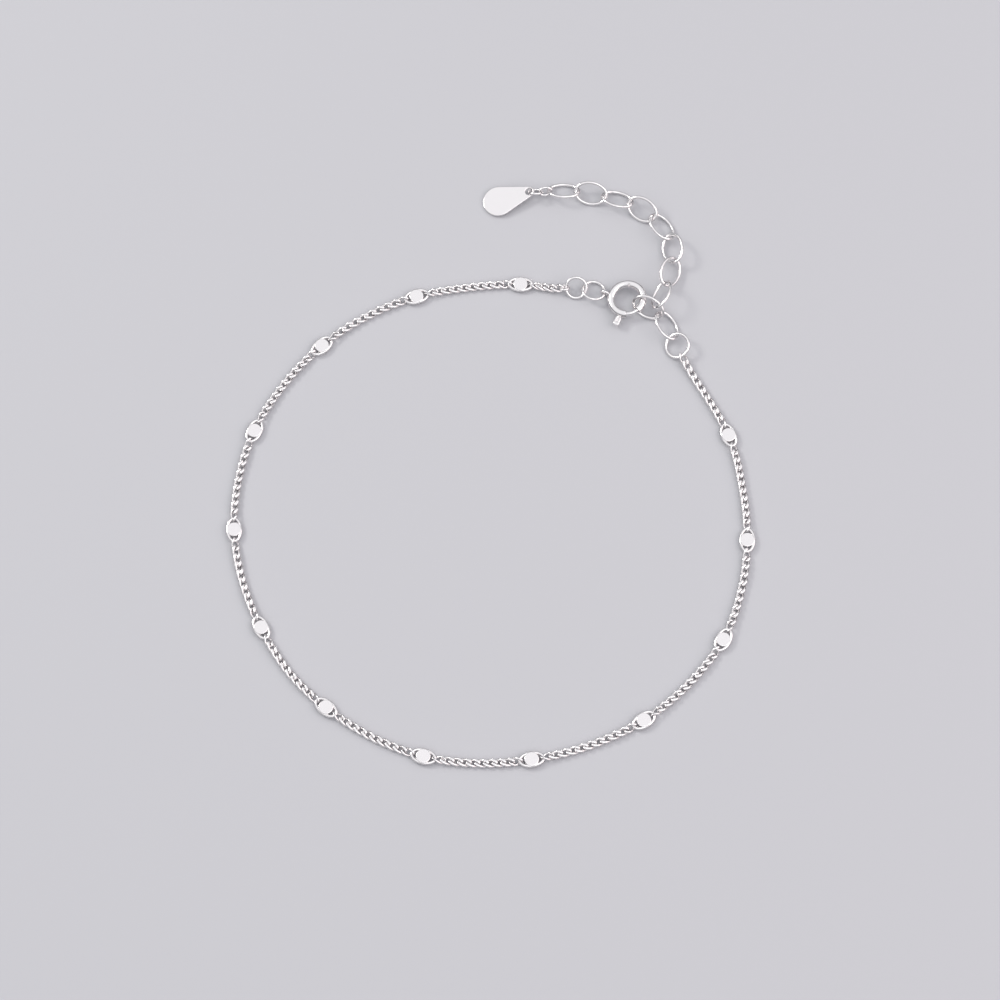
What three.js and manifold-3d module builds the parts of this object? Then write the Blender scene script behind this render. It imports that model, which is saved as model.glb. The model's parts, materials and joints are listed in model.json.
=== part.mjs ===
// Fine silver chain anklet with flat disc stations, lying on a surface.
// Millimetres and degrees. X runs to the right, Y away from the viewer, Z up, and the lowest point is at Z 0.
import * as THREE from "three";
import { mergeVertices } from "three/addons/utils/BufferGeometryUtils.js";
import Module from "manifold-3d";

const wasm = await Module();
wasm.setup();

// Curb chain, drawn as a plain oval tube between the stations
const CHAIN_WIDTH = 1.2;
const CHAIN_THICKNESS = 0.88;
const CHAIN_SIDES = 8;
const CHAIN_STEP = 2.8;
const CHAIN_END_GAP = 0.3;

// Width of the chain's loop
const LOOP_WIDTH = 70;

// Route of the chain's middle line on the surface, as X and Y in hundredths of the loop's width.
// The rings at the two ends give its first and last points.
// Every second point of this list, from the first, is the centre of a disc station.
const CHAIN_ROUTE = [
  [4.0, 44.6], [-6.1, 44.0],
  [-16.3, 42.0], [-25.9, 37.9],
  [-34.6, 31.6], [-41.9, 23.4],
  [-47.3, 13.9], [-50.1, 3.9],
  [-50.7, -6.3], [-48.9, -16.4],
  [-45.1, -25.9], [-39.7, -34.6],
  [-32.6, -41.6], [-23.9, -47.3],
  [-14.3, -51.1], [-4.1, -52.4],
  [5.9, -51.7], [16.6, -49.0],
  [26.9, -44.1], [35.3, -37.1],
  [42.1, -28.3], [45.7, -18.6],
  [47.1, -8.4], [46.4, 2.4],
  [44.0, 13.0],
];

// Disc stations: an oval link with a flat round disc soldered in it.
// A station is held a little off the surface by the chain links that pass under its ends.
const STATION_LENGTH = 3.6;
const STATION_WIDTH = 2.2;
const STATION_WIRE = 0.42;
const DISC_DIAMETER = 1.94;
const DISC_THICKNESS = 0.56;
const DISC_EDGE = 0.07;
const STATION_HEIGHT = 0.5;

// Extender links
const LINK_LENGTH = 4.75;
const LINK_WIDTH = 3.4;
const LINK_WIRE = 0.44;
const LINK_SLACK = 0.1;

// Round rings, by outer diameter and wire
const CHAIN_RING_DIAMETER = 3.7;
const CHAIN_RING_WIRE = 0.44;
const CLASP_RING_DIAMETER = 3.5;
const CLASP_RING_WIRE = 0.42;
const JUMP_RING_DIAMETER = 3.2;
const JUMP_RING_WIRE = 0.4;
const END_RING_DIAMETER = 1.6;
const END_RING_WIRE = 0.32;
const TAG_RING_DIAMETER = 2.2;
const TAG_RING_WIRE = 0.36;
const TAG_LINK_LENGTH = 2.1;
const TAG_LINK_WIDTH = 1.5;
const TAG_LINK_WIRE = 0.34;

// Spring ring: a hollow tube bent to a C, with a sliding wire that closes it
const CLASP_DIAMETER = 5.5;
const TUBE_DIAMETER = 1.07;
const TUBE_BORE = 0.8;
const GATE_WIRE = 0.6;
const GAP_START = 266;
const GAP_END = 309;
const GATE_OVERLAP = 7;
const GATE_TAIL = 30;
const GATE_TRAVEL = 50;
const LEVER_ANGLE = 247;
const LEVER_WIDTH = 0.9;
const LEVER_HEIGHT = 0.7;
const LEVER_REACH = 1.4;
const NECK_WIDTH = 0.5;
const NECK_HEIGHT = 0.3;
const SLOT_CLEARANCE = 0.06;
const EYE_ANGLE = 161;
const EYE_DIAMETER = 1.4;
const EYE_WIRE = 0.36;
const VENT_ANGLE = 80;
const VENT_DIAMETER = 0.3;

// Teardrop tag
const TAG_LENGTH = 7.3;
const TAG_ROUND_DIAMETER = 4.3;
const TAG_TIP_DIAMETER = 1.5;
const TAG_THICKNESS = 0.36;
const TAG_EDGE = 0.06;
const TAG_HOLE = 1.0;

// Where the ring at the extender's end of the chain lies, in hundredths of the loop's width,
// and how the pieces that follow it are turned.
// heading: direction of the long axis seen from above, 0 along +X and positive to the left.
// lean: how far the piece is rolled about its long axis, its left side up when positive.
// tilt: how far the far end of the long axis is raised.
// height: of the piece's centre above the surface; where it is left out the low side touches the surface.
const CHAIN_RING_CENTRE = [34.4, 31.4];
const CHAIN_RING_POSE = { heading: 113, lean: -25, tilt: 0, height: 0.91 };
const EXTENDER_POSES = [
  { heading: 116, lean: 29, tilt: 2, height: 0.96 },
  { heading: 154, lean: -49, tilt: 2, height: 1.35 },
  { heading: 72, lean: -47, tilt: -7, height: 1.92 },
  { heading: 68, lean: 35, tilt: -6, height: 1.51 },
  { heading: 100, lean: -33, tilt: -6, height: 1.29 },
  { heading: 125, lean: 26, tilt: 1, height: 0.9 },
  { heading: 147, lean: -35, tilt: 0 },
  { heading: 164, lean: 27, tilt: 0, height: 0.97 },
  { heading: 169, lean: -34, tilt: 0, height: 1.05 },
  { heading: 179, lean: 31, tilt: 0, height: 0.98 },
];
const HOOKED_LINK = 1;
const HOOKED_AT = { along: -1.15, side: -0.4 };

// Clasp and the rings between it and the chain's other end
const CLASP_POSE = { heading: 0, lean: 0, tilt: 8 };
const CROSSING_ANGLE = -25;
const CROSSING_ALONG = 0.95;
const CLASP_RING_POSE = { heading: 168, lean: 17, tilt: 3, height: 0.79 };
const JUMP_RING_POSE = { heading: 176, lean: -31, tilt: 0, height: 0.94 };
const END_RING_POSE = { heading: 182, lean: 38, tilt: 0, height: 0.89 };

// Small link, ring and tag at the free end of the extender
const TAG_LINK_POSE = { heading: 188, lean: -52, tilt: 2, height: 0.99 };
const TAG_RING_POSE = { heading: 180, lean: 47, tilt: 0, height: 1.04 };
const TAG_HEADING = 196;

// Fineness of the round shapes
const LINK_STEPS = 16;
const WIRE_SIDES = 6;
const DISC_SIDES = 16;
const STATION_STEPS = 14;
const TUBE_STEP = 12;
const TUBE_SIDES = 12;
const BORE_SIDES = 8;
const ROUTE_SAMPLES = 40;

const radians = THREE.MathUtils.degToRad;

function silver() {
  return new THREE.MeshStandardMaterial({ color: 0xe4e3e6, roughness: 0.16, metalness: 1 });
}

function namedMesh(name, geometry) {
  const mesh = new THREE.Mesh(geometry, silver());
  mesh.name = name;
  return mesh;
}

// Closed geometry to a solid and back
function toSolid(geometry) {
  const bare = geometry.clone();
  bare.deleteAttribute("normal");
  bare.deleteAttribute("uv");
  const merged = mergeVertices(bare, 1e-4);
  return new wasm.Manifold(new wasm.Mesh({
    numProp: 3,
    vertProperties: new Float32Array(merged.attributes.position.array),
    triVerts: new Uint32Array(merged.index.array),
  }));
}

function toGeometry(solid) {
  const mesh = solid.getMesh();
  const geometry = new THREE.BufferGeometry();
  geometry.setAttribute("position", new THREE.BufferAttribute(new Float32Array(mesh.vertProperties), 3));
  geometry.setIndex(new THREE.BufferAttribute(new Uint32Array(mesh.triVerts), 1));
  geometry.computeVertexNormals();
  return geometry;
}

function circleShape(diameter, sides) {
  const points = [];
  for (let side = 0; side < sides; side += 1) {
    const angle = 2 * Math.PI * (side + 0.5) / sides;
    points.push(new THREE.Vector2(Math.cos(angle), Math.sin(angle)).multiplyScalar(diameter / 2));
  }
  return new THREE.Shape(points);
}

// Arc of a circle in the XY plane, by angles in degrees
class ArcPath extends THREE.Curve {
  constructor(radius, from, to) {
    super();
    this.radius = radius;
    this.from = from;
    this.to = to;
  }

  getPoint(share) {
    const angle = radians(THREE.MathUtils.lerp(this.from, this.to, share));
    return new THREE.Vector3(Math.cos(angle), Math.sin(angle), 0).multiplyScalar(this.radius);
  }
}

function arcTube(radius, from, to, diameter, sides) {
  const steps = Math.ceil((to - from) / TUBE_STEP);
  return new THREE.ExtrudeGeometry(circleShape(diameter, sides), {
    steps,
    extrudePath: new ArcPath(radius, from, to),
  });
}

// Wire bent to an oval that lies in the XY plane, its long axis along X.
// A torus is moved out, point by point, from its circle to the oval.
function ovalLink(length, width, wire, steps = LINK_STEPS) {
  const semiLong = (length - wire) / 2;
  const semiShort = (width - wire) / 2;
  const geometry = new THREE.TorusGeometry(semiLong, wire / 2, WIRE_SIDES, steps);
  const position = geometry.attributes.position;
  for (let index = 0; index < position.count; index += 1) {
    const x = position.getX(index);
    const y = position.getY(index);
    const around = Math.atan2(y, x);
    const outward = Math.hypot(x, y) - semiLong;
    const normal = new THREE.Vector2(Math.cos(around) * semiShort, Math.sin(around) * semiLong).normalize();
    position.setX(index, Math.cos(around) * semiLong + normal.x * outward);
    position.setY(index, Math.sin(around) * semiShort + normal.y * outward);
  }
  return geometry;
}

function roundRing(diameter, wire) {
  return ovalLink(diameter, diameter, wire);
}

// Direction and left-hand side of a heading, seen from above
function direction(heading) {
  return new THREE.Vector2(Math.cos(radians(heading)), Math.sin(radians(heading)));
}

function leftOf(heading) {
  return direction(heading + 90);
}

// Height at which the low side of a leaning oval touches the surface
function restingHeight(length, width, wire, pose) {
  const alongDrop = (length - wire) / 2 * Math.sin(radians(pose.tilt));
  const sideDrop = (width - wire) / 2 * Math.sin(radians(pose.lean)) * Math.cos(radians(pose.tilt));
  return Math.hypot(alongDrop, sideDrop) + wire / 2;
}

function turn(object, pose) {
  object.rotation.set(radians(pose.lean), -radians(pose.tilt), radians(pose.heading), "ZYX");
}

// A ring or link at a centre seen from above, in its pose
function lay(name, size, centre, pose) {
  const mesh = namedMesh(name, ovalLink(size.length, size.width, size.wire));
  const height = pose.height ?? restingHeight(size.length, size.width, size.wire, pose);
  mesh.position.set(centre.x, centre.y, height);
  turn(mesh, pose);
  return mesh;
}

function reach(size) {
  return size.length / 2 - size.wire - LINK_SLACK / 2;
}

// Centre of the next piece of a chain of rings: each pulls on the inside of the other's end
function nextCentre(centre, size, pose, nextSize, nextPose) {
  return centre.clone()
    .addScaledVector(direction(pose.heading), reach(size))
    .addScaledVector(direction(nextPose.heading), reach(nextSize));
}

function ringSize(diameter, wire) {
  return { length: diameter, width: diameter, wire };
}

const linkSize = { length: LINK_LENGTH, width: LINK_WIDTH, wire: LINK_WIRE };
const tagLinkSize = { length: TAG_LINK_LENGTH, width: TAG_LINK_WIDTH, wire: TAG_LINK_WIRE };
const chainRingSize = ringSize(CHAIN_RING_DIAMETER, CHAIN_RING_WIRE);
const claspRingSize = ringSize(CLASP_RING_DIAMETER, CLASP_RING_WIRE);
const jumpRingSize = ringSize(JUMP_RING_DIAMETER, JUMP_RING_WIRE);
const endRingSize = ringSize(END_RING_DIAMETER, END_RING_WIRE);
const tagRingSize = ringSize(TAG_RING_DIAMETER, TAG_RING_WIRE);

const anklet = new THREE.Group();

function loopPoint([x, y]) {
  return new THREE.Vector2(x, y).multiplyScalar(LOOP_WIDTH / 100);
}

// Extender: from the ring at the end of the chain to its free end
const chainRingCentre = loopPoint(CHAIN_RING_CENTRE);
const linkCentres = [];
EXTENDER_POSES.forEach((pose, index) => {
  if (index === 0) {
    linkCentres.push(nextCentre(chainRingCentre, chainRingSize, CHAIN_RING_POSE, linkSize, pose));
    return;
  }
  const before = linkCentres[index - 1];
  const beforePose = EXTENDER_POSES[index - 1];
  if (index - 1 === HOOKED_LINK) {
    linkCentres.push(before.clone()
      .addScaledVector(direction(beforePose.heading), HOOKED_AT.along)
      .addScaledVector(leftOf(beforePose.heading), HOOKED_AT.side)
      .addScaledVector(direction(pose.heading), reach(linkSize)));
    return;
  }
  linkCentres.push(nextCentre(before, linkSize, beforePose, linkSize, pose));
});
anklet.add(lay("chain_ring", chainRingSize, chainRingCentre, CHAIN_RING_POSE));
linkCentres.forEach((centre, index) => {
  const number = String(index + 1).padStart(2, "0");
  anklet.add(lay(`extender_link_${number}`, linkSize, centre, EXTENDER_POSES[index]));
});

// Tag link, tag ring and tag at the free end
const lastPose = EXTENDER_POSES.at(-1);
const tagLinkCentre = nextCentre(linkCentres.at(-1), linkSize, lastPose, tagLinkSize, TAG_LINK_POSE);
const tagRingCentre = nextCentre(tagLinkCentre, tagLinkSize, TAG_LINK_POSE, tagRingSize, TAG_RING_POSE);
anklet.add(lay("tag_link", tagLinkSize, tagLinkCentre, TAG_LINK_POSE));
anklet.add(lay("tag_ring", tagRingSize, tagRingCentre, TAG_RING_POSE));
anklet.add(makeTag());

// Flat teardrop in the XY plane with its hole at the origin and its round end along X
function tagShape() {
  const roundRadius = TAG_ROUND_DIAMETER / 2 - TAG_EDGE;
  const tipRadius = TAG_TIP_DIAMETER / 2 - TAG_EDGE;
  const spacing = TAG_LENGTH - (TAG_ROUND_DIAMETER + TAG_TIP_DIAMETER) / 2;
  const flank = Math.PI - Math.acos((tipRadius - roundRadius) / spacing);
  const shape = new THREE.Shape();
  shape.absarc(spacing, 0, roundRadius, -Math.PI + flank, Math.PI - flank, false);
  shape.absarc(0, 0, tipRadius, Math.PI - flank, Math.PI + flank, false);
  shape.closePath();
  const hole = new THREE.Path();
  hole.absarc(0, 0, TAG_HOLE / 2 + TAG_EDGE, 0, 2 * Math.PI, true);
  shape.holes.push(hole);
  return shape;
}

function makeTag() {
  const geometry = new THREE.ExtrudeGeometry(tagShape(), {
    depth: TAG_THICKNESS - 2 * TAG_EDGE,
    bevelEnabled: true,
    bevelThickness: TAG_EDGE,
    bevelSize: TAG_EDGE,
    bevelSegments: 1,
    curveSegments: 12,
  });
  geometry.translate(0, 0, TAG_EDGE - TAG_THICKNESS / 2);
  const tag = namedMesh("tag", geometry);
  const holeCentre = tagRingCentre.clone()
    .addScaledVector(direction(TAG_RING_POSE.heading), (TAG_RING_DIAMETER - TAG_RING_WIRE) / 2);
  const holeHeight = TAG_RING_POSE.height;
  const farEnd = TAG_LENGTH - TAG_TIP_DIAMETER / 2;
  const tilt = -THREE.MathUtils.radToDeg(Math.asin((holeHeight - TAG_THICKNESS / 2) / farEnd));
  tag.position.set(holeCentre.x, holeCentre.y, holeHeight);
  turn(tag, { heading: TAG_HEADING, lean: 0, tilt });
  return tag;
}

// Spring ring, hooked through one link of the extender
const tubeRadius = (CLASP_DIAMETER - TUBE_DIAMETER) / 2;
const hookedPose = EXTENDER_POSES[HOOKED_LINK];
const claspCentre = linkCentres[HOOKED_LINK].clone()
  .addScaledVector(direction(hookedPose.heading), CROSSING_ALONG)
  .addScaledVector(direction(CROSSING_ANGLE), -tubeRadius);
const eyeCentreRadius = (CLASP_DIAMETER + EYE_DIAMETER) / 2 - EYE_WIRE * 0.6;

const gateEnd = GAP_END + GATE_OVERLAP;
const gateTail = LEVER_ANGLE - GATE_TAIL;

// Flat band of a ring in the XY plane, between two radii and two angles, centred on height 0
function band(innerRadius, outerRadius, from, to, height) {
  const shape = new THREE.Shape();
  shape.absarc(0, 0, outerRadius, radians(from), radians(to), false);
  shape.absarc(0, 0, innerRadius, radians(to), radians(from), true);
  shape.closePath();
  const geometry = new THREE.ExtrudeGeometry(shape, { depth: height, bevelEnabled: false, curveSegments: 10 });
  geometry.translate(0, 0, -height / 2);
  return geometry;
}

// Rounded plate that points away from the ring's centre at an angle
function radialPlate(fromRadius, toRadius, width, height, corner, angle) {
  const half = width / 2;
  const shape = new THREE.Shape();
  shape.moveTo(fromRadius, -half);
  shape.lineTo(toRadius - corner, -half);
  shape.absarc(toRadius - corner, -half + corner, corner, -Math.PI / 2, 0, false);
  shape.absarc(toRadius - corner, half - corner, corner, 0, Math.PI / 2, false);
  shape.lineTo(fromRadius, half);
  shape.closePath();
  const geometry = new THREE.ExtrudeGeometry(shape, { depth: height, bevelEnabled: false, curveSegments: 4 });
  geometry.translate(0, 0, -height / 2);
  geometry.rotateZ(radians(angle));
  return geometry;
}

function makeClaspBody() {
  const tube = toSolid(arcTube(tubeRadius, GAP_END - 360, GAP_START, TUBE_DIAMETER, TUBE_SIDES));
  const eye = roundRing(EYE_DIAMETER, EYE_WIRE);
  eye.rotateX(Math.PI / 2);
  eye.translate(eyeCentreRadius, 0, 0);
  eye.rotateZ(radians(EYE_ANGLE));
  const bore = new THREE.TorusGeometry(tubeRadius, TUBE_BORE / 2, BORE_SIDES, 360 / TUBE_STEP);
  const neckAngle = THREE.MathUtils.radToDeg((NECK_WIDTH / 2 + SLOT_CLEARANCE) / tubeRadius);
  const slotStart = LEVER_ANGLE - GATE_TRAVEL - neckAngle;
  const slot = band(tubeRadius, CLASP_DIAMETER, slotStart, GAP_START + TUBE_STEP, NECK_HEIGHT + 2 * SLOT_CLEARANCE);
  const vent = new THREE.CylinderGeometry(VENT_DIAMETER / 2, VENT_DIAMETER / 2, TUBE_DIAMETER, BORE_SIDES);
  vent.rotateX(Math.PI / 2);
  vent.translate(tubeRadius - VENT_DIAMETER, 0, TUBE_DIAMETER / 2);
  vent.rotateZ(radians(VENT_ANGLE));
  return toSolid(eye).add(tube).subtract(toSolid(bore)).subtract(toSolid(slot)).subtract(toSolid(vent));
}

function makeGate() {
  const wire = toSolid(arcTube(tubeRadius, gateTail, gateEnd, GATE_WIRE, BORE_SIDES));
  const thumbStart = CLASP_DIAMETER / 2 + SLOT_CLEARANCE;
  const neck = radialPlate(tubeRadius, thumbStart + LEVER_REACH / 2, NECK_WIDTH, NECK_HEIGHT, NECK_WIDTH / 4,
    LEVER_ANGLE);
  const thumb = radialPlate(thumbStart, thumbStart + LEVER_REACH, LEVER_WIDTH, LEVER_HEIGHT, LEVER_WIDTH / 3,
    LEVER_ANGLE);
  return wire.add(toSolid(neck)).add(toSolid(thumb));
}

const clasp = new THREE.Group();
const claspSlope = radians(CLASP_POSE.tilt);
const tubeDrop = tubeRadius * Math.sin(claspSlope) + TUBE_DIAMETER / 2;
const eyeDrop = -eyeCentreRadius * Math.cos(radians(EYE_ANGLE)) * Math.sin(claspSlope)
  + EYE_DIAMETER / 2 * Math.cos(claspSlope);
const claspHeight = Math.max(tubeDrop, eyeDrop);
clasp.position.set(claspCentre.x, claspCentre.y, claspHeight);
turn(clasp, CLASP_POSE);
clasp.add(namedMesh("clasp_body", toGeometry(makeClaspBody())));
clasp.add(namedMesh("clasp_gate", toGeometry(makeGate())));
clasp.updateMatrixWorld(true);
anklet.add(clasp);

// Rings from the clasp's eye to the chain
const eyeDirection = direction(EYE_ANGLE).multiplyScalar(eyeCentreRadius);
const eyeCentre = new THREE.Vector3(eyeDirection.x, eyeDirection.y, 0).applyMatrix4(clasp.matrixWorld);
const claspRingCentre = new THREE.Vector2(eyeCentre.x, eyeCentre.y)
  .addScaledVector(direction(CLASP_RING_POSE.heading), (CLASP_RING_DIAMETER - CLASP_RING_WIRE) / 2);
const jumpRingCentre = nextCentre(claspRingCentre, claspRingSize, CLASP_RING_POSE, jumpRingSize, JUMP_RING_POSE);
const endRingCentre = nextCentre(jumpRingCentre, jumpRingSize, JUMP_RING_POSE, endRingSize, END_RING_POSE);
anklet.add(lay("clasp_ring", claspRingSize, claspRingCentre, CLASP_RING_POSE));
anklet.add(lay("jump_ring", jumpRingSize, jumpRingCentre, JUMP_RING_POSE));
anklet.add(lay("end_ring", endRingSize, endRingCentre, END_RING_POSE));

// Main chain: plain runs between disc stations, along one smooth route
const chainStart = endRingCentre.clone()
  .addScaledVector(direction(END_RING_POSE.heading), END_RING_DIAMETER / 2 + CHAIN_END_GAP);
const chainEnd = chainRingCentre.clone()
  .addScaledVector(direction(CHAIN_RING_POSE.heading), -CHAIN_RING_DIAMETER / 2 - CHAIN_END_GAP);
const routePoints = [chainStart, ...CHAIN_ROUTE.map(loopPoint), chainEnd]
  .map((point) => new THREE.Vector3(point.x, point.y, CHAIN_THICKNESS / 2));
const route = new THREE.CatmullRomCurve3(routePoints, false, "centripetal");
route.arcLengthDivisions = ROUTE_SAMPLES * (routePoints.length - 1);
const routeLengths = route.getLengths();
const routeLength = routeLengths.at(-1);

class RouteStretch extends THREE.Curve {
  constructor(from, to) {
    super();
    this.from = from;
    this.to = to;
  }

  getPoint(share) {
    return route.getPointAt(THREE.MathUtils.lerp(this.from, this.to, share) / routeLength);
  }
}

function chainSection() {
  const grow = 1 / Math.cos(Math.PI / CHAIN_SIDES);
  const points = circleShape(2 * grow, CHAIN_SIDES).getPoints();
  return new THREE.Shape(points.map((point) => new THREE.Vector2(
    point.x * CHAIN_THICKNESS / 2,
    point.y * CHAIN_WIDTH / 2,
  )));
}

function makeStation() {
  const profile = [
    [0, -DISC_THICKNESS / 2],
    [DISC_DIAMETER / 2 - DISC_EDGE, -DISC_THICKNESS / 2],
    [DISC_DIAMETER / 2, DISC_EDGE - DISC_THICKNESS / 2],
    [DISC_DIAMETER / 2, DISC_THICKNESS / 2 - DISC_EDGE],
    [DISC_DIAMETER / 2 - DISC_EDGE, DISC_THICKNESS / 2],
    [0, DISC_THICKNESS / 2],
  ].map(([radius, height]) => new THREE.Vector2(radius, height));
  const disc = new THREE.LatheGeometry(profile, DISC_SIDES);
  disc.rotateX(Math.PI / 2);
  const link = ovalLink(STATION_LENGTH, STATION_WIDTH, STATION_WIRE, STATION_STEPS);
  return toGeometry(toSolid(link).add(toSolid(disc)));
}

const stationPlaces = [];
for (let index = 1; index <= CHAIN_ROUTE.length; index += 2) {
  stationPlaces.push(routeLengths[index * ROUTE_SAMPLES]);
}
stationPlaces.forEach((place, index) => {
  const station = namedMesh(`disc_link_${String(index + 1).padStart(2, "0")}`, makeStation());
  const centre = route.getPointAt(place / routeLength);
  const tangent = route.getTangentAt(place / routeLength);
  station.position.set(centre.x, centre.y, STATION_HEIGHT);
  station.rotation.z = Math.atan2(tangent.y, tangent.x);
  anklet.add(station);
});

const stationRoom = STATION_LENGTH / 2 + CHAIN_END_GAP;
for (let index = 0; index <= stationPlaces.length; index += 1) {
  const from = index === 0 ? 0 : stationPlaces[index - 1] + stationRoom;
  const to = index === stationPlaces.length ? routeLength : stationPlaces[index] - stationRoom;
  const geometry = new THREE.ExtrudeGeometry(chainSection(), {
    steps: Math.ceil((to - from) / CHAIN_STEP),
    extrudePath: new RouteStretch(from, to),
  });
  anklet.add(namedMesh(`chain_run_${String(index + 1).padStart(2, "0")}`, geometry));
}

// The origin is the middle of the underside of the whole piece
anklet.updateMatrixWorld(true);
const extent = new THREE.Box3().setFromObject(anklet, true);
const middle = extent.getCenter(new THREE.Vector3());
anklet.position.set(-middle.x, -middle.y, -extent.min.z);

export default anklet;
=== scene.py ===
import json
import math

import bmesh
import bpy
import numpy as np
from mathutils import Matrix, Vector


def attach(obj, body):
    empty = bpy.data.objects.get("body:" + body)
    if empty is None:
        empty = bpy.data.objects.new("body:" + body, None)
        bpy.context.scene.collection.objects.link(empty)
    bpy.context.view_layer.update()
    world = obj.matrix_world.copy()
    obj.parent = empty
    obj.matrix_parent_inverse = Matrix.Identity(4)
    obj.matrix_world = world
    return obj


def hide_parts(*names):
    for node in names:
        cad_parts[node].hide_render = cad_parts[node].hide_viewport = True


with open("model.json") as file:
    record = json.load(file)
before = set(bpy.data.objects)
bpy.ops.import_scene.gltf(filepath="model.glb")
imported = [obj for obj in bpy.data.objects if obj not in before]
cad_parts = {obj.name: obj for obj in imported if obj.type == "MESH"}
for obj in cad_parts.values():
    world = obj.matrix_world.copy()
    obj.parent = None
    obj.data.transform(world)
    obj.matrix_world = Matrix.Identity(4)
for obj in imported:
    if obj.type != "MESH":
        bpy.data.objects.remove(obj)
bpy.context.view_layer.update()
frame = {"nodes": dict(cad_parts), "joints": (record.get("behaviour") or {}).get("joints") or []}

mm = 0.001
nodes = frame["nodes"]


# Reading places from the fixed frame, in millimetres

def cadPoints(name):
    points = np.array([vertex.co[:] for vertex in nodes[name].data.vertices]) / mm
    return np.unique(points.round(3), axis=0)


def poseOf(name):
    # centre of a flat piece, and its long, short and thin directions as columns
    points = cadPoints(name)
    centre = points.mean(0)
    axes = np.linalg.svd(points - centre, full_matrices=False)[2]
    if axes[2][2] < 0:
        axes[2] = -axes[2]
    axes[1] = np.cross(axes[2], axes[0])
    return centre, axes.T


def runEnd(name, awayFrom, faceReach=0.9):
    # middle of the end face of a plain chain run, at the end far from a point
    # faceReach, in mm, takes in the whole face and no other row of points
    points = cadPoints(name)
    distance = np.linalg.norm(points - awayFrom, axis=1)
    return points[distance > distance.max() - faceReach].mean(0)


# Building meshes from rows of points

def gridFaces(rows, columns, closeRows=True, closeColumns=True):
    faces = []
    for row in range(rows if closeRows else rows - 1):
        for column in range(columns if closeColumns else columns - 1):
            nextRow = (row + 1) % rows
            nextColumn = (column + 1) % columns
            faces.append((row * columns + column, nextRow * columns + column,
                          nextRow * columns + nextColumn, row * columns + nextColumn))
    return faces


def joined(parts):
    points, faces, start = [], [], 0
    for partPoints, partFaces in parts:
        points.append(partPoints)
        faces.extend(tuple(index + start for index in face) for face in partFaces)
        start += len(partPoints)
    return np.vstack(points), faces


def addPiece(name, points, faces, material, body, replaced):
    mesh = bpy.data.meshes.new(name)
    mesh.from_pydata((np.asarray(points) * mm).tolist(), [], faces)
    shape = bmesh.new()
    shape.from_mesh(mesh)
    bmesh.ops.recalc_face_normals(shape, faces=shape.faces)
    shape.to_mesh(mesh)
    shape.free()
    mesh.polygons.foreach_set("use_smooth", [True] * len(mesh.polygons))
    mesh.materials.append(material)
    piece = bpy.data.objects.new(name, mesh)
    bpy.context.scene.collection.objects.link(piece)
    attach(piece, body)
    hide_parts(*replaced)
    return piece


def circlePoints(count):
    angles = np.linspace(0, 2 * np.pi, count, endpoint=False)
    return np.cos(angles), np.sin(angles)


def sweepClosed(path, normals, radius, sides):
    # round wire along a closed line, from its points and one sideways direction at each
    tangents = np.roll(path, -1, 0) - np.roll(path, 1, 0)
    tangents /= np.linalg.norm(tangents, axis=1)[:, None]
    normals = normals - (normals * tangents).sum(1)[:, None] * tangents
    normals /= np.linalg.norm(normals, axis=1)[:, None]
    others = np.cross(tangents, normals)
    cosines, sines = circlePoints(sides)
    radius = np.broadcast_to(radius, len(path))
    around = normals[:, None] * cosines[None, :, None] + others[:, None] * sines[None, :, None]
    points = path[:, None] + around * radius[:, None, None]
    return points.reshape(-1, 3), gridFaces(len(path), sides)


def ovalWire(length, width, wire, steps, sides, seam=0.0):
    # wire bent to an oval in the XY plane; the seam is where its ends were soldered, as a share of the wire
    semiLong, semiShort = (length - wire) / 2, (width - wire) / 2
    angles = np.linspace(0, 2 * np.pi, steps, endpoint=False)
    path = np.c_[semiLong * np.cos(angles), semiShort * np.sin(angles), 0 * angles]
    normals = np.c_[semiShort * np.cos(angles), semiLong * np.sin(angles), 0 * angles]
    radius = np.full(steps, wire / 2)
    radius[steps * 3 // 4] *= 1 - seam
    return sweepClosed(path, normals, radius, sides)


def placed(points, centre, axes):
    return np.asarray(points) @ np.asarray(axes).T + np.asarray(centre)


# Materials

def linearColour(code):
    channels = [int(code[start:start + 2], 16) / 255 for start in (1, 3, 5)]
    return [value / 12.92 if value <= 0.04045 else ((value + 0.055) / 1.055) ** 2.4
            for value in channels] + [1.0]


def addNode(material, kind, settings=None, inputs=None):
    # one shader node; an input is a value or an output of another node
    node = material.node_tree.nodes.new(kind)
    for key, value in (settings or {}).items():
        setattr(node, key, value)
    for key, value in (inputs or {}).items():
        if isinstance(value, bpy.types.NodeSocket):
            material.node_tree.links.new(value, node.inputs[key])
        else:
            node.inputs[key].default_value = value
    return node


silverLook = {
    "colour": "#f1eeee",
    "cloudSize": 0.9,                     # mm, soft variation of the polish
    "scratchWidth": 0.035,                # mm
    "scratchLength": 1.1,                 # mm
    "scratchAngles": (0.4, 1.7, 2.6),
    "scratchTilt": (0.3, 0.2),            # so that scratches cross the sides of a wire too
    "scratchDepth": 0.002,                # mm
    "grainDepth": 0.003,                  # mm
}
noiseRange = (0.35, 0.65)                 # where nearly all of a noise's values lie
scratchRange = (0.68, 0.74)               # the few values above it that show as scratches


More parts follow.
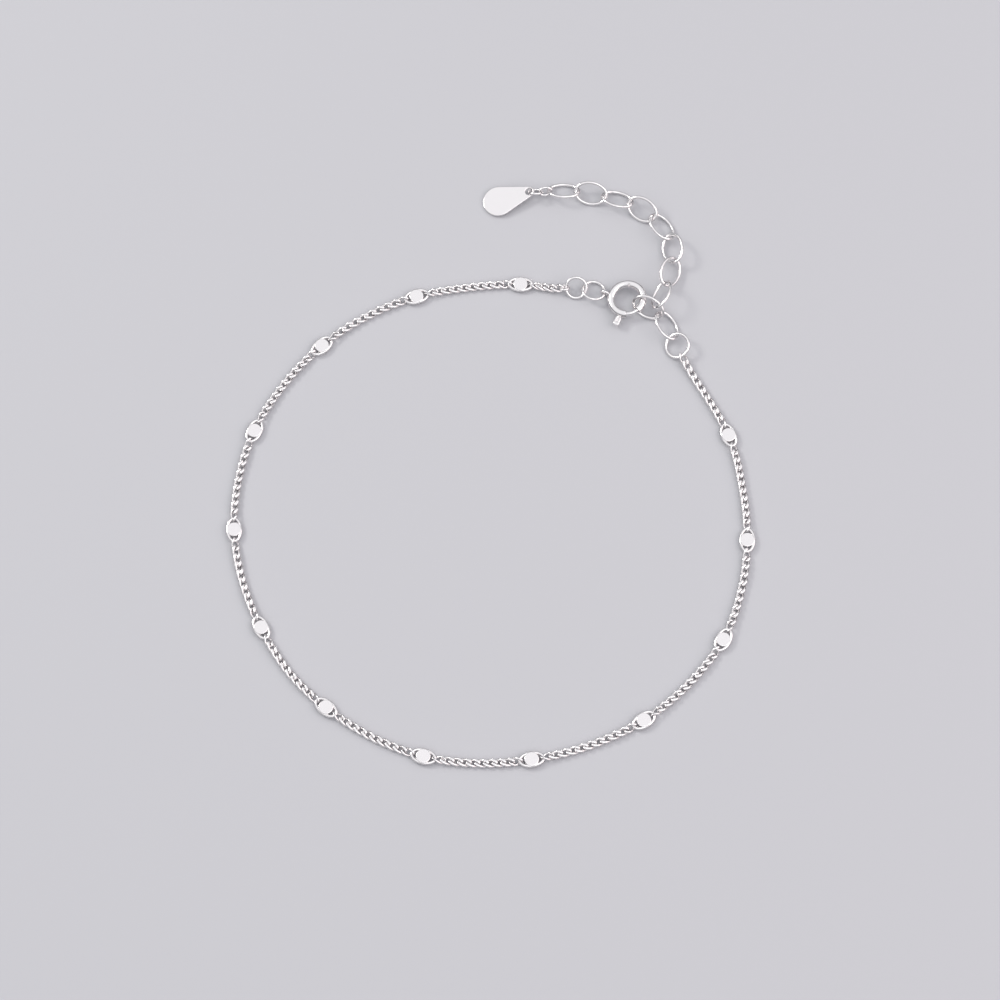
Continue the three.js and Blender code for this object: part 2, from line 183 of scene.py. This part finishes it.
def silverMaterial(name, roughness, spread, scratchStrength, grainSize, grainStrength):
    material = bpy.data.materials.new(name)
    material.use_nodes = True
    tree = material.node_tree
    tree.nodes.clear()
    place = addNode(material, "ShaderNodeTexCoord").outputs["Object"]
    inMm = addNode(material, "ShaderNodeVectorMath", {"operation": "SCALE"},
                   {0: place, "Scale": 1 / mm}).outputs[0]
    clouds = addNode(material, "ShaderNodeTexNoise", inputs={
        "Vector": inMm, "Scale": 1 / silverLook["cloudSize"], "Detail": 4.0})
    roughnessMap = addNode(material, "ShaderNodeMapRange", inputs={
        "Value": clouds.outputs["Fac"], "From Min": noiseRange[0], "From Max": noiseRange[1],
        "To Min": roughness - spread, "To Max": roughness + spread})
    scratches = []
    for angle in silverLook["scratchAngles"]:
        turned = addNode(material, "ShaderNodeMapping", inputs={
            "Vector": inMm, "Rotation": (*silverLook["scratchTilt"], angle),
            "Scale": (1 / silverLook["scratchLength"], 1 / silverLook["scratchWidth"],
                      1 / silverLook["scratchLength"])})
        noise = addNode(material, "ShaderNodeTexNoise", inputs={
            "Vector": turned.outputs[0], "Scale": 1.0, "Detail": 1.0})
        scratches.append(addNode(material, "ShaderNodeMapRange", inputs={
            "Value": noise.outputs["Fac"], "From Min": scratchRange[0],
            "From Max": scratchRange[1]}).outputs[0])
    lines = scratches[0]
    for others in scratches[1:]:
        lines = addNode(material, "ShaderNodeMath", {"operation": "ADD"}, {0: lines, 1: others}).outputs[0]
    grain = addNode(material, "ShaderNodeTexNoise", inputs={
        "Vector": inMm, "Scale": 1 / grainSize, "Detail": 3.0}).outputs["Fac"]
    scratchBump = addNode(material, "ShaderNodeBump", {"invert": True}, {
        "Height": lines, "Strength": scratchStrength, "Distance": silverLook["scratchDepth"] * mm})
    bump = addNode(material, "ShaderNodeBump", inputs={
        "Height": grain, "Strength": grainStrength, "Distance": silverLook["grainDepth"] * mm,
        "Normal": scratchBump.outputs[0]})
    surface = addNode(material, "ShaderNodeBsdfPrincipled", inputs={
        "Base Color": linearColour(silverLook["colour"]), "Metallic": 1.0,
        "Roughness": roughnessMap.outputs[0], "Normal": bump.outputs[0]})
    addNode(material, "ShaderNodeOutputMaterial", inputs={"Surface": surface.outputs[0]})
    return material


# Drawn wire tumbled to a bright polish: soft long highlights along each bend
wireSilver = silverMaterial("silver_rhodium_tumbled_wire", roughness=0.17, spread=0.05,
                            scratchStrength=0.15, grainSize=0.25, grainStrength=0.08)
# Stamped flat and buffed: nearly a mirror, with hairlines that show only where it catches the light
flatSilver = silverMaterial("silver_rhodium_buffed_flat", roughness=0.15, spread=0.04,
                            scratchStrength=0.1, grainSize=0.5, grainStrength=0.03)
# Drawn tube bent and polished: wide smooth highlights
tubeSilver = silverMaterial("silver_rhodium_polished_tube", roughness=0.13, spread=0.04,
                            scratchStrength=0.12, grainSize=0.4, grainStrength=0.05)


# Rings and links of round wire

ringForms = {                          # outer length, outer width, wire, in mm
    "chain_ring": (3.7, 3.7, 0.44),
    "clasp_ring": (3.5, 3.5, 0.42),
    "jump_ring": (3.2, 3.2, 0.4),
    "end_ring": (1.6, 1.6, 0.32),
    "tag_ring": (2.2, 2.2, 0.36),
    "tag_link": (2.1, 1.5, 0.34),
}
extenderForm = (4.75, 3.4, 0.44)
seamDepth = 0.02                       # share of the wire's thickness filed away at the solder seam

for name in sorted(nodes):
    if name.startswith("extender_link_"):
        form = extenderForm
    elif name in ringForms:
        form = ringForms[name]
    else:
        continue
    centre, axes = poseOf(name)
    points, faces = ovalWire(*form, steps=96, sides=24, seam=seamDepth)
    addPiece(name + "_wire", placed(points, centre, axes), faces, wireSilver, "anklet", [name])
print("rings and extender built")


# Disc stations: oval link with a flat disc soldered across it

station = {
    "length": 3.6, "width": 2.2, "wire": 0.42,
    "disc": 1.94, "thickness": 0.56, "edge": 0.09,
    "faceRows": (0.15, 0.55),          # radii of two rows of points on the flat face
}
faceMargin = 0.03                      # mm, a row this far inside an edge keeps a flat face's shading even


def discShape(diameter, thickness, edge, sides=72):
    corner = np.linspace(0, np.pi / 2, 6)
    radii = [*station["faceRows"], diameter / 2 - edge - faceMargin]
    heights = [thickness / 2] * len(radii)
    radii += list(diameter / 2 - edge + edge * np.sin(corner))
    heights += list(thickness / 2 - edge + edge * np.cos(corner))
    radii = np.array(radii + radii[::-1])
    heights = np.array(heights + [-height for height in heights[::-1]])
    cosines, sines = circlePoints(sides)
    rows = np.stack([radii[:, None] * cosines, radii[:, None] * sines,
                     np.broadcast_to(heights[:, None], (len(radii), sides))], axis=2)
    faces = gridFaces(len(radii), sides, closeRows=False)
    faces.append(tuple(range(sides)))
    faces.append(tuple(range((len(radii) - 1) * sides, len(radii) * sides)))
    return rows.reshape(-1, 3), faces


stationNames = sorted(name for name in nodes if name.startswith("disc_link_"))
stationPoses = [poseOf(name) for name in stationNames]
stationParts = [
    ovalWire(station["length"], station["width"], station["wire"], steps=88, sides=20),
    discShape(station["disc"], station["thickness"], station["edge"]),
]
for name, (centre, axes) in zip(stationNames, stationPoses):
    points, faces = joined(stationParts)
    addPiece(name + "_soldered", placed(points, centre, axes), faces, flatSilver, "anklet", [name])
print("disc stations built")


# Curb chain: each link is an oval of wire twisted about the chain's own line, then ground flat

curb = {
    "wire": 0.375, "width": 1.21, "semiLength": 0.865,
    "twist": 66.0,           # degrees from a link's middle to its end
    "squareness": 2.5,
    "pitch": 1.15,
    "flat": 0.36,            # half the height between the faces ground on the links
    "flatEdge": 0.025,
}
fromStation = 2.06           # mm from a disc's centre to the middle of the first link
# First and second links beside a station and at the extender's ring: roll, nose up, height, wire
endPoses = {
    "station": [(-27.0, -2.5, 0.5, 0.3), (0.0, -1.0, 0.45, 0.375)],
    "chain": [(-9.0, -9.5, 0.83, 0.31), (6.5, -8.0, 0.57, 0.375)],
}
# The four links between the end ring and the first station: mm from the ring's centre, then as above
shortRun = [
    (1.02, 0.0, -12.0, 0.82, 0.31),
    (1.99, 3.0, -9.0, 0.54, 0.35),
    (3.08, 15.0, 0.5, 0.46, 0.35),
    (4.06, 30.0, 1.0, 0.49, 0.3),
]
settling = [0.44, 0.4]       # heights of the third and fourth links, before the rest lie on the surface
fromChainRing = 2.08

# The route's points on the surface, in hundredths of the loop's width as in the CAD part
# The first is a station, and every second one after it
loopWidth = 70.0
routePoints = loopWidth / 100 * np.array([
    (4.0, 44.6), (-6.1, 44.0), (-16.3, 42.0), (-25.9, 37.9), (-34.6, 31.6),
    (-41.9, 23.4), (-47.3, 13.9), (-50.1, 3.9), (-50.7, -6.3), (-48.9, -16.4),
    (-45.1, -25.9), (-39.7, -34.6), (-32.6, -41.6), (-23.9, -47.3), (-14.3, -51.1),
    (-4.1, -52.4), (5.9, -51.7), (16.6, -49.0), (26.9, -44.1), (35.3, -37.1),
    (42.1, -28.3), (45.7, -18.6), (47.1, -8.4), (46.4, 2.4), (44.0, 13.0),
])
shift = stationPoses[0][0][:2] - routePoints[0]


def smoothRoute(points, perPart=60):
    # centripetal Catmull-Rom line through the points
    points = np.array(points)
    padded = np.vstack([2 * points[0] - points[1], points, 2 * points[-1] - points[-2]])
    steps = np.sqrt(np.linalg.norm(np.diff(padded, axis=0), axis=1))
    line, share = [], np.linspace(0, 1, perPart, endpoint=False)[:, None]
    for index in range(len(points) - 1):
        before, first, second, after = padded[index:index + 4]
        stepA, stepB, stepC = steps[index:index + 3]
        startSlope = ((first - before) / stepA - (second - before) / (stepA + stepB)
                      + (second - first) / stepB) * stepB
        endSlope = ((second - first) / stepB - (after - first) / (stepB + stepC)
                    + (after - second) / stepC) * stepB
        square = -3 * first + 3 * second - 2 * startSlope - endSlope
        cube = 2 * first - 2 * second + startSlope + endSlope
        line.append(first + startSlope * share + square * share ** 2 + cube * share ** 3)
    return np.vstack(line + [points[-1:]])


routeStart = runEnd("chain_run_01", stationPoses[0][0])[:2]
routeFinish = runEnd("chain_run_14", stationPoses[-1][0])[:2]
route = smoothRoute([routeStart, *(routePoints + shift), routeFinish])
routeLengths = np.r_[0, np.cumsum(np.linalg.norm(np.diff(route, axis=0), axis=1))]


def routePoint(place):
    return np.array([np.interp(place, routeLengths, route[:, axis]) for axis in (0, 1)])


def onRoute(place, look=0.2):
    # point and direction on the surface at a length along the route; straight on beyond its ends
    inside = np.clip(place, 0, routeLengths[-1])
    change = routePoint(inside + look) - routePoint(inside - look)
    direction = change / np.linalg.norm(change)
    return routePoint(inside) + direction * (place - inside), direction


def placeOf(centre):
    return routeLengths[np.linalg.norm(route - centre[:2], axis=1).argmin()]


def groundFlat(heights):
    # the tops and undersides of the links are ground to one height, which leaves small bright facets
    start = curb["flat"] - curb["flatEdge"]
    over = np.clip(np.abs(heights) - start, 0, None)
    eased = start + curb["flatEdge"] * (1 - np.exp(-over / curb["flatEdge"]))
    return np.where(over > 0, np.sign(heights) * eased, heights)


def curbLink(wire, steps=48, sides=16):
    # an oval of closely set points is twisted first, and then divided into even steps along the wire
    angles = np.linspace(0, 2 * np.pi, 1441)
    power = 2 / curb["squareness"]
    along = curb["semiLength"] * np.sign(np.cos(angles)) * np.abs(np.cos(angles)) ** power
    side = (curb["width"] - wire) / 2 * np.sign(np.sin(angles)) * np.abs(np.sin(angles)) ** power
    twistPerMm = math.radians(curb["twist"]) / curb["semiLength"]
    twist = twistPerMm * along
    dense = np.c_[along, side * np.cos(twist), side * np.sin(twist)]
    lengths = np.r_[0, np.cumsum(np.linalg.norm(np.diff(dense, axis=0), axis=1))]
    even = np.linspace(0, lengths[-1], steps, endpoint=False)
    path = np.c_[[np.interp(even, lengths, dense[:, axis]) for axis in range(3)]].T
    twist = twistPerMm * path[:, 0]
    throughOval = np.c_[0 * even, -np.sin(twist), np.cos(twist)]
    points, faces = sweepClosed(path, throughOval, wire / 2, sides)
    points[:, 2] = groundFlat(points[:, 2])
    return points, faces


def linkAxes(direction, roll, nose):
    ahead = Vector((direction[0], direction[1], 0)).normalized()
    side = Vector((-ahead.y, ahead.x, 0))
    lifted = Matrix.Rotation(-math.radians(nose), 3, side)
    ahead = lifted @ ahead
    rolled = Matrix.Rotation(math.radians(roll), 3, ahead)
    side = rolled @ side
    return np.array([ahead, side, ahead.cross(side)]).T


def posesBetween(start, finish, finishKind="station"):
    # links from one length along the route to another; the last two at each end take their own poses
    count = int(round((finish - start) / curb["pitch"])) + 1
    poses = []
    for number, place in enumerate(np.linspace(start, finish, count)):
        fromEnd = min(number, count - 1 - number)
        sign = 1 if number < count / 2 else -1
        if fromEnd < 2:
            roll, nose, height, wire = endPoses["station" if sign == 1 else finishKind][fromEnd]
        else:
            roll, nose, wire = 0.0, 0.0, curb["wire"]
            height = settling[fromEnd - 2] if fromEnd < 4 else curb["flat"]
        poses.append((place, sign * roll, sign * nose, height, wire))
    return poses


def layRun(index, poses):
    parts = []
    for place, roll, nose, height, wire in poses:
        point, direction = onRoute(place)
        points, faces = curbLink(wire)
        parts.append((placed(points, (point[0], point[1], height), linkAxes(direction, roll, nose)), faces))
    points, faces = joined(parts)
    name = f"chain_run_{index:02d}"
    addPiece(name + "_links", points, faces, wireSilver, "anklet", [name])
    return len(parts)


stops = [placeOf(centre) for centre, axes in stationPoses]
endRingPlace = placeOf(routeStart) - np.linalg.norm(routeStart - poseOf("end_ring")[0][:2])
chainRingPlace = routeLengths[-1] + np.linalg.norm(routeFinish - poseOf("chain_ring")[0][:2])
linkCount = layRun(1, [(endRingPlace + along, *pose) for along, *pose in shortRun])
for index in range(1, len(stops)):
    linkCount += layRun(index + 1, posesBetween(stops[index - 1] + fromStation, stops[index] - fromStation))
lastPoses = posesBetween(stops[-1] + fromStation, chainRingPlace - fromChainRing, "chain")
linkCount += layRun(len(stops) + 1, lastPoses)
print("curb links built:", linkCount)


# Spring-ring clasp

clasp = {                                   # mm, and degrees round the clasp
    "diameter": 5.5, "tube": 1.07, "bore": 0.8, "lip": 0.05,
    "gapStart": 266.0, "gapEnd": 309.0,
    "gateWire": 0.6, "gateTail": 217.0, "gateEnd": 316.0,
    "leverAngle": 247.0, "leverWidth": 0.9, "leverHeight": 0.7, "leverReach": 1.4,
    "leverCorner": 0.3, "leverSquareness": 5,
    "grooveWidth": 0.26, "grooveDepth": 0.18,
    "grooveStop": 0.42, "grooveFade": 0.12,  # where the groove ends before the tip, and how softly
    "neckWidth": 0.5, "neckHeight": 0.3, "neckCorner": 0.06, "neckInLever": 0.3,
    "slotStart": 189.0, "slotHeight": 0.42, "clearance": 0.06,
    "eyeAngle": 161.0, "eye": 1.4, "eyeWire": 0.36,
    "eyeSunk": 0.6,                         # share of the eye's wire inside the solder and the tube
    "ventAngle": 80.0, "vent": 0.3, "ventDepth": 0.22, "ventEdge": 0.03,
}
bend = (clasp["diameter"] - clasp["tube"]) / 2    # radius of the tube's middle line
gateJoint = frame["joints"][0]
claspCentre = np.array(gateJoint["pos_m"]) / mm
claspUp = -np.array(gateJoint["axis"]) / np.linalg.norm(gateJoint["axis"])
claspAxes = np.array([np.cross((0, 1, 0), claspUp), (0, 1, 0), claspUp]).T


def turnedBy(degrees):
    # turn about the clasp's own axis
    cosine, sine = math.cos(math.radians(degrees)), math.sin(math.radians(degrees))
    return np.array([[cosine, -sine, 0], [sine, cosine, 0], [0, 0, 1]])


def onBend(angle, reach, height):
    # point at an angle round the clasp, so far out from the tube's middle line and so far up
    turned = np.radians(angle)
    return np.stack([(bend + reach) * np.cos(turned), (bend + reach) * np.sin(turned),
                     np.broadcast_to(height, np.shape(turned * reach))], axis=-1)


def claspTube(rowStep=2.5, slotStep=0.4, lipSteps=(0.35, 0.8, 1.5)):
    # rows of points round the tube, closer at the vent, at the slot's end and at the two lips
    radius, inner = clasp["tube"] / 2, clasp["bore"] / 2
    half = clasp["slotHeight"] / 2
    start, finish = clasp["gapEnd"] - 360, clasp["gapStart"]
    ventHalf = math.degrees(clasp["vent"] / 2 / (bend - clasp["vent"]))
    slotStart = clasp["slotStart"]
    along = set(np.arange(start, finish, rowStep)) | {finish}
    along |= {slotStart, slotStart - slotStep, slotStart + slotStep}
    along |= set(clasp["ventAngle"] + np.linspace(-1.6, 1.6, 33) * ventHalf)
    along |= {start + step for step in lipSteps} | {finish - step for step in lipSteps}
    along = np.array(sorted(along))
    ventAround = math.degrees(math.acos(-clasp["vent"] / radius))
    ventSpread = np.linspace(-24, 24, 25)         # degrees round the wire, closely set points at the vent

    def aroundAngles(size):
        edge = math.degrees(math.asin(half / size))
        closed = np.unique(np.r_[np.linspace(edge, 360 - edge, 45), ventAround + ventSpread])
        opened = np.linspace(-edge, edge, 9)[1:-1]
        return np.r_[closed, opened + 360], len(closed)

    def surface(size, shrink):
        around, closedCount = aroundAngles(size)
        cosines, sines = np.cos(np.radians(around)), np.sin(np.radians(around))
        reach = (size + shrink)[:, None] * cosines[None]
        height = (size + shrink)[:, None] * sines[None]
        return onBend(along[:, None] + 0 * cosines[None], reach, height), closedCount

    fromLip = np.minimum(along - start, finish - along) * math.radians(1) * bend
    lipShare = np.clip(1 - fromLip / clasp["lip"], 0, 1)
    outerPoints, closedCount = surface(radius, -clasp["lip"] * (1 - np.sqrt(1 - lipShare ** 2)))
    innerPoints = surface(inner, 0 * along)[0]
    ventTurn = math.radians(clasp["ventAngle"])
    ventCentre = (bend - clasp["vent"]) * np.array([math.cos(ventTurn), math.sin(ventTurn)])
    distance = np.linalg.norm(outerPoints[..., :2] - ventCentre, axis=-1)
    inHole = np.clip((clasp["vent"] / 2 - distance) / clasp["ventEdge"] + 0.5, 0, 1) * (outerPoints[..., 2] > 0)
    outerPoints[..., 2] -= clasp["ventDepth"] * inHole
    rows, columns = outerPoints.shape[:2]
    slotRow = int(np.argmin(np.abs(along - slotStart)))
    offset = rows * columns
    # outer and inner wall, open at the slot; then the slot's long edges; then both lips and the slot's end
    faces = []
    for row in range(rows - 1):
        for column in range(columns):
            following = (column + 1) % columns
            inSlot = row >= slotRow and column >= closedCount - 1
            if inSlot:
                continue
            low, high = row * columns, (row + 1) * columns
            faces.append((low + column, high + column, high + following, low + following))
            faces.append(tuple(offset + index for index in
                               (low + column, low + following, high + following, high + column)))
    for row in range(slotRow, rows - 1):
        for column in (closedCount - 1, 0):
            low, high = row * columns + column, (row + 1) * columns + column
            faces.append((low, high, high + offset, low + offset))
    for row, columnsHere in ((0, range(columns)), (rows - 1, range(closedCount - 1)),
                             (slotRow, range(closedCount - 1, columns))):
        for column in columnsHere:
            first = row * columns + column
            second = row * columns + (column + 1) % columns
            faces.append((first, second, second + offset, first + offset))
    return np.vstack([outerPoints.reshape(-1, 3), innerPoints.reshape(-1, 3)]), faces


def claspEye():
    points, faces = ovalWire(clasp["eye"], clasp["eye"], clasp["eyeWire"], steps=56, sides=18)
    upright = np.c_[points[:, 0], -points[:, 2], points[:, 1]]
    upright[:, 0] += (clasp["diameter"] + clasp["eye"]) / 2 - clasp["eyeWire"] * clasp["eyeSunk"]
    return upright @ turnedBy(clasp["eyeAngle"]).T, faces


def gateArc(sides=24, capTip=0.004):
    # round wire with domed ends; capTip is the radius left at the middle of each dome
    radius = clasp["gateWire"] / 2
    perDegree = math.radians(1) * bend
    capAngles = np.linspace(0, np.pi / 2, 7)[:-1]
    start, finish = clasp["gateTail"] + radius / perDegree, clasp["gateEnd"] - radius / perDegree
    angles = list(start - radius * np.cos(capAngles) / perDegree)
    sizes = list(radius * np.sin(capAngles))
    middle = np.linspace(start, finish, 50)
    angles += list(middle)
    sizes += [radius] * len(middle)
    angles += list(finish + radius * np.cos(capAngles[::-1]) / perDegree)
    sizes += list(radius * np.sin(capAngles[::-1]))
    sizes[0] = sizes[-1] = capTip
    cosines, sines = circlePoints(sides)
    angles, sizes = np.array(angles), np.array(sizes)
    points = onBend(angles[:, None] + 0 * cosines[None], sizes[:, None] * cosines, sizes[:, None] * sines)
    faces = gridFaces(len(angles), sides, closeRows=False)
    faces.append(tuple(range(sides)))
    faces.append(tuple(range((len(angles) - 1) * sides, len(angles) * sides)))
    return points.reshape(-1, 3), faces


def radialBar(fromReach, toReach, width, height, corner, groove=0.0):
    # rounded bar that points outwards at the lever's angle; its groove runs from the ring to near the tip
    square = clasp["leverSquareness"]
    across = np.sin(np.linspace(-np.pi / 2, np.pi / 2, 41))
    rise = (1 - np.abs(across) ** square) ** (1 / square)
    rise -= groove / (height / 2) * np.exp(-(across * width / clasp["grooveWidth"]) ** 4)
    side = width / 2 * np.r_[across, across[-2:0:-1]]
    flat = height / 2 * (1 - np.abs(side / (width / 2)) ** square) ** (1 / square)
    flat[len(across):] *= -1
    grooved = height / 2 * np.r_[rise, -rise[-2:0:-1]]
    count = len(side)
    cap = np.linspace(0, np.pi / 2, 6)
    reaches = list(fromReach + corner * (1 - np.cos(cap)))
    inset = list(corner * (1 - np.sin(cap)))
    straight = np.linspace(fromReach + corner, toReach - corner, 14)[1:-1]
    reaches += list(straight)
    inset += [0.0] * len(straight)
    reaches += list(toReach - corner * (1 - np.sin(cap)))
    inset += list(corner * (1 - np.cos(cap)))
    rows = []
    for reach, less in zip(reaches, inset):
        fade = min(1.0, max(0.0, (toReach - clasp["grooveStop"] - reach) / clasp["grooveFade"]))
        high = (flat + (grooved - flat) * fade) * (1 - less / height)
        rows.append(np.c_[np.full(count, reach), side * (1 - 2 * less / width), high])
    faces = gridFaces(len(rows), count, closeRows=False)
    faces.append(tuple(range(count)))
    faces.append(tuple(range((len(rows) - 1) * count, len(rows) * count)))
    return np.vstack(rows) @ turnedBy(clasp["leverAngle"]).T, faces


points, faces = joined([claspTube(), claspEye()])
addPiece("clasp_body_tube", placed(points, claspCentre, claspAxes), faces, tubeSilver, "anklet",
         ["clasp_body"])
leverStart = clasp["diameter"] / 2 + clasp["clearance"]
points, faces = joined([
    gateArc(),
    radialBar(bend, leverStart + clasp["neckInLever"], clasp["neckWidth"], clasp["neckHeight"],
              clasp["neckCorner"]),
    radialBar(leverStart, leverStart + clasp["leverReach"], clasp["leverWidth"], clasp["leverHeight"],
              clasp["leverCorner"], clasp["grooveDepth"]),
])
addPiece("clasp_gate_wire", placed(points, claspCentre, claspAxes), faces, tubeSilver, "gate",
         ["clasp_gate"])
print("clasp built")


# Teardrop tag

tag = {"length": 7.3, "round": 4.3, "tip": 1.5, "thickness": 0.36, "edge": 0.1, "hole": 1.0}


def tagOutline(inset, roundSteps=72, flankSteps=20, tipSteps=36):
    # round end, flank, tip and flank; share is 1 at the centre of the round end and 0 at the tip's
    tipRadius, roundRadius = tag["tip"] / 2, tag["round"] / 2
    spacing = tag["length"] - tipRadius - roundRadius
    flank = math.acos((tipRadius - roundRadius) / spacing)
    between = np.linspace(1, 0, flankSteps + 2)[1:-1]
    share = np.r_[np.ones(roundSteps), between, np.zeros(tipSteps), between[::-1]]
    normals = np.r_[np.linspace(-flank, flank, roundSteps), np.full(flankSteps, flank),
                    np.linspace(flank, 2 * np.pi - flank, tipSteps), np.full(flankSteps, -flank)]
    radii = tipRadius + (roundRadius - tipRadius) * share - inset
    return np.c_[spacing * share + radii * np.cos(normals), radii * np.sin(normals)]


def tagPlate():
    half, edge = tag["thickness"] / 2, tag["edge"]
    outline = tagOutline(0)
    bearing = outline / np.linalg.norm(outline, axis=1)[:, None]
    corner = np.linspace(0, np.pi / 2, 5)
    rows = []
    for side in (1, -1):
        stepsIn = list(zip(edge * (1 - np.sin(corner)), half - edge + edge * np.cos(corner)))
        holeRows = [(bearing * (tag["hole"] / 2 + grow), side * height) for grow, height in stepsIn]
        edgeRows = [(tagOutline(inset), side * height) for inset, height in stepsIn]
        holeFlat = bearing * (tag["hole"] / 2 + edge + faceMargin)
        edgeFlat = tagOutline(edge + faceMargin)
        across = [(holeFlat + (edgeFlat - holeFlat) * share, side * half) for share in (0, 0.3, 0.7, 1)]
        sequence = holeRows[::-1] + across + edgeRows
        for plane, height in (sequence if side == 1 else sequence[::-1]):
            rows.append(np.c_[plane, np.full(len(outline), height)])
    return np.vstack(rows), gridFaces(len(rows), len(outline))


tagPoints = cadPoints("tag")
tagCentre, tagAxes = poseOf("tag")
local = (tagPoints - tagCentre) @ tagAxes
ends = tag["length"] / 5                # mm from the middle, where the two ends' widths are compared
if np.ptp(local[local[:, 0] > ends][:, 1]) < np.ptp(local[local[:, 0] < -ends][:, 1]):
    halfTurn = np.diag([-1.0, -1.0, 1.0])
    tagAxes, local = tagAxes @ halfTurn, local @ halfTurn
middle = (local.max(0) + local.min(0)) / 2
hole = np.array([local[:, 0].min() + tag["tip"] / 2, middle[1], middle[2]])
points, faces = tagPlate()
addPiece("tag_stamped", placed(points, tagCentre + tagAxes @ hole, tagAxes), faces, flatSilver, "anklet",
         ["tag"])
print("tag built")


# Floor, light and camera

stageLook = {
    "floorColour": "#bdbdc1", "floorReach": 2.0,
    "fibreSize": 1.11,                  # mm, coarser than real fibres so that it shows at all
    "fibreHeight": 0.02,                # mm
    "skyStrength": 1.06,
    "sky": [(0.1, "#2a2a2e"), (0.3, "#9fa1a5"), (0.55, "#e6e7ea"), (1.0, "#fcfcff")],
    "lights": [                         # place in metres, size in metres, power in watts, colour
        ("key_upper_left", (-0.42, 0.22, 0.4), 0.2, 1.15, "#fffdf8"),
        ("top_soft", (0.1, -0.1, 0.58), 0.3, 0.25, "#ffffff"),
        ("side_right", (0.4, -0.06, 0.3), 0.5, 0.75, "#fff1f1"),
    ],
}
photoCamera = {"elevation": 70.0, "distance": 482.4, "lens": 129.6, "sensor": 36.0}    # degrees, then mm


def floorMaterial():
    material = bpy.data.materials.new("paper_matt_pale_grey")    # uncoated card: no highlight, faint fibre
    material.use_nodes = True
    material.node_tree.nodes.clear()
    place = addNode(material, "ShaderNodeTexCoord").outputs["Object"]
    fibre = addNode(material, "ShaderNodeTexNoise", inputs={
        "Vector": place, "Scale": 1 / (stageLook["fibreSize"] * mm), "Detail": 4.0})
    bump = addNode(material, "ShaderNodeBump", inputs={
        "Height": fibre.outputs["Fac"], "Strength": 0.15, "Distance": stageLook["fibreHeight"] * mm})
    surface = addNode(material, "ShaderNodeBsdfPrincipled", inputs={
        "Base Color": linearColour(stageLook["floorColour"]), "Roughness": 0.85, "Normal": bump.outputs[0]})
    addNode(material, "ShaderNodeOutputMaterial", inputs={"Surface": surface.outputs[0]})
    return material


floorMesh = bpy.data.meshes.new("floor")
reach = stageLook["floorReach"]
floorMesh.from_pydata([(-reach, -reach, 0), (reach, -reach, 0), (reach, reach, 0), (-reach, reach, 0)],
                      [], [(0, 1, 2, 3)])
floorMesh.materials.append(floorMaterial())
floor = bpy.data.objects.new("floor", floorMesh)
bpy.context.scene.collection.objects.link(floor)


def addLight(name, location, size, power, colour):
    # a soft box that faces the middle of the anklet
    data = bpy.data.lights.new(name, "AREA")
    data.shape = "RECTANGLE"
    data.size, data.size_y = size, size * 0.75
    data.energy = power
    data.color = linearColour(colour)[:3]
    light = bpy.data.objects.new(name, data)
    light.location = location
    light.rotation_euler = (-Vector(location)).to_track_quat("-Z", "Y").to_euler()
    bpy.context.scene.collection.objects.link(light)


for row in stageLook["lights"]:
    addLight(*row)

# A studio that is dark near the horizon and pale overhead, so that polished wire has thin dark edges
world = bpy.data.worlds.new("studio")
world.use_nodes = True
world.node_tree.nodes.clear()
upward = addNode(world, "ShaderNodeSeparateXYZ", inputs={
    0: addNode(world, "ShaderNodeTexCoord").outputs["Generated"]}).outputs["Z"]
ramp = addNode(world, "ShaderNodeValToRGB", inputs={"Fac": upward})
skySteps = ramp.color_ramp.elements
skySteps.remove(skySteps[1])
skySteps[0].position = stageLook["sky"][0][0]
skySteps[0].color = linearColour(stageLook["sky"][0][1])
for height, colour in stageLook["sky"][1:]:
    skySteps.new(height).color = linearColour(colour)
sky = addNode(world, "ShaderNodeBackground", inputs={
    "Color": ramp.outputs["Color"], "Strength": stageLook["skyStrength"]})
addNode(world, "ShaderNodeOutputWorld", inputs={"Surface": sky.outputs[0]})
bpy.context.scene.world = world
bpy.context.scene.view_settings.view_transform = "Standard"

# The camera looks down at the photo's angle
target = Vector((shift[0], shift[1], 0)) * mm
elevation = math.radians(photoCamera["elevation"])
distance = photoCamera["distance"] * mm
cameraData = bpy.data.cameras.new("camera")
cameraData.lens = photoCamera["lens"]
cameraData.sensor_width = photoCamera["sensor"]
cameraData.clip_start = 0.01
camera = bpy.data.objects.new("camera", cameraData)
camera.location = target + Vector((0, -math.cos(elevation), math.sin(elevation))) * distance
camera.rotation_euler = (target - camera.location).to_track_quat("-Z", "Y").to_euler()
bpy.context.scene.collection.objects.link(camera)
bpy.context.scene.camera = camera

print("camera and light set")
